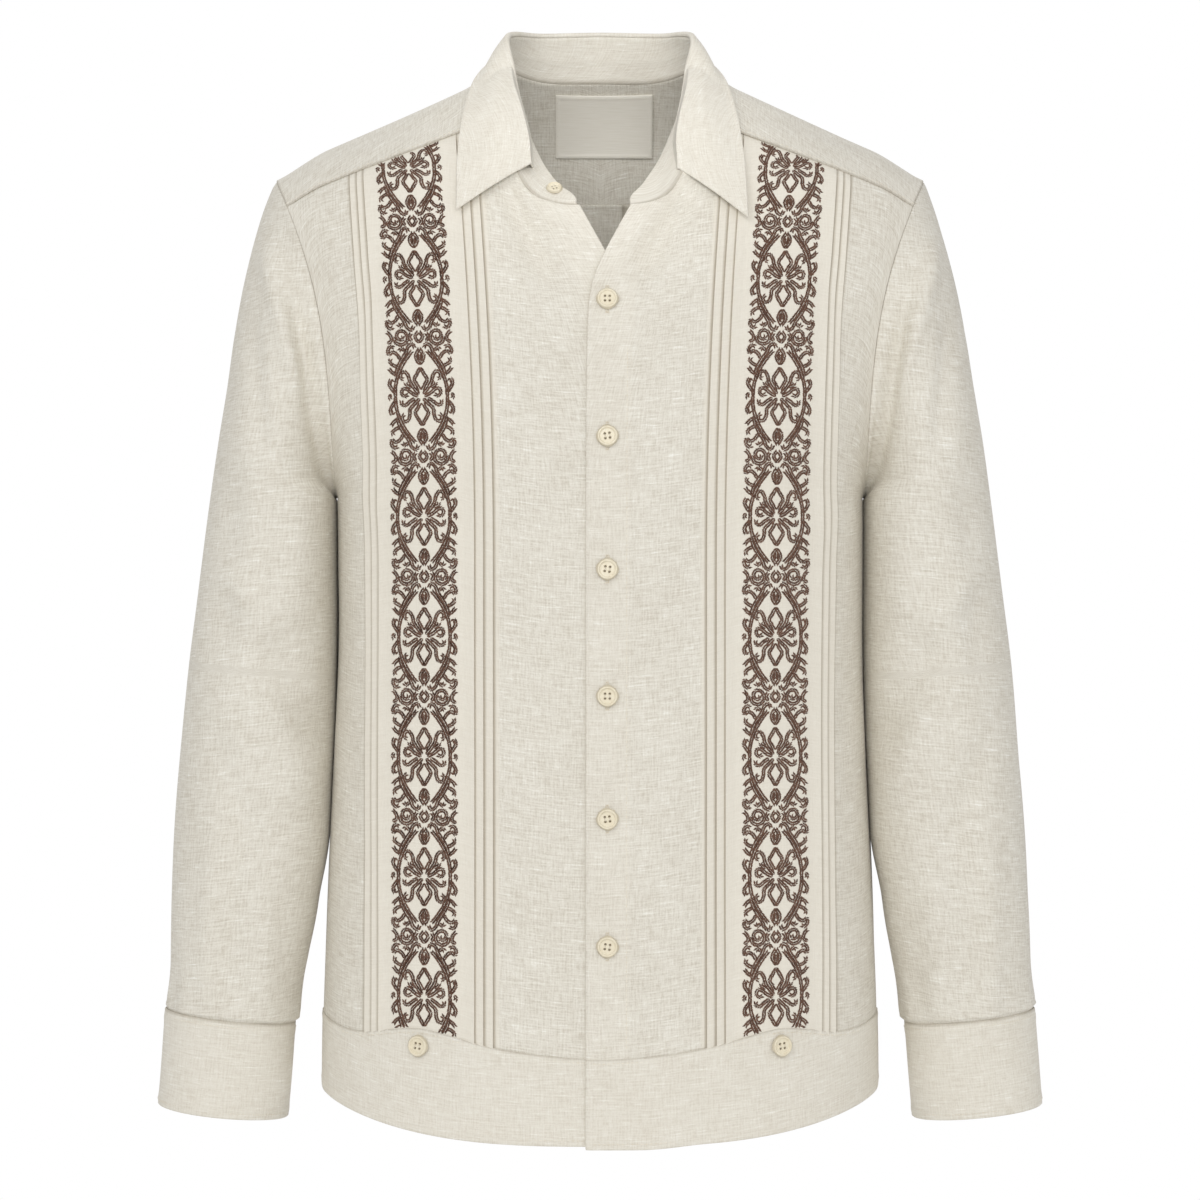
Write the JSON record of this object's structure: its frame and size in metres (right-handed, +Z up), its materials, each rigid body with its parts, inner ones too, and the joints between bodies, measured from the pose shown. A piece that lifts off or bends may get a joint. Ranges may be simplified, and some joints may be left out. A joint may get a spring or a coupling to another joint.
{
  "type": "guayabera shirt",
  "caption": "Long-sleeved guayabera shirt, filled out as if worn: open collar, vertical tucks beside two embroidered bands, buttoned front, cuffs and a shaped hem band with side buttons.",
  "frame": {"origin": "between the shoulders on the centre plane, where the wearer carries the shirt", "axes": "+Z up, the front faces -Y, +X towards the wearer's left sleeve"},
  "size_m": [0.6134, 0.2393, 0.772],
  "materials": {
    "linen": "slubby ivory linen, matt",
    "label": "blank woven label, satin",
    "button": "cream four-hole button, soft gloss"
  },
  "bodies": {
    "root": {"front_right": "linen", "front_left": "linen", "back": "linen", "yoke": "linen", "sleeve_right": "linen", "sleeve_left": "linen", "cuff_right": "linen", "cuff_left": "linen", "hem_band_right": "linen", "hem_band_left": "linen", "hem_band_back": "linen", "collar_stand": "linen", "collar_leaf": "linen", "neck_label": "label", "button_front_1": "button", "button_front_2": "button", "button_front_3": "button", "button_front_4": "button", "button_front_5": "button", "button_front_6": "button", "button_stand": "button", "button_hem_right": "button", "button_hem_left": "button", "button_cuff_right": "button", "button_cuff_left": "button"}
  },
  "joints": []
}
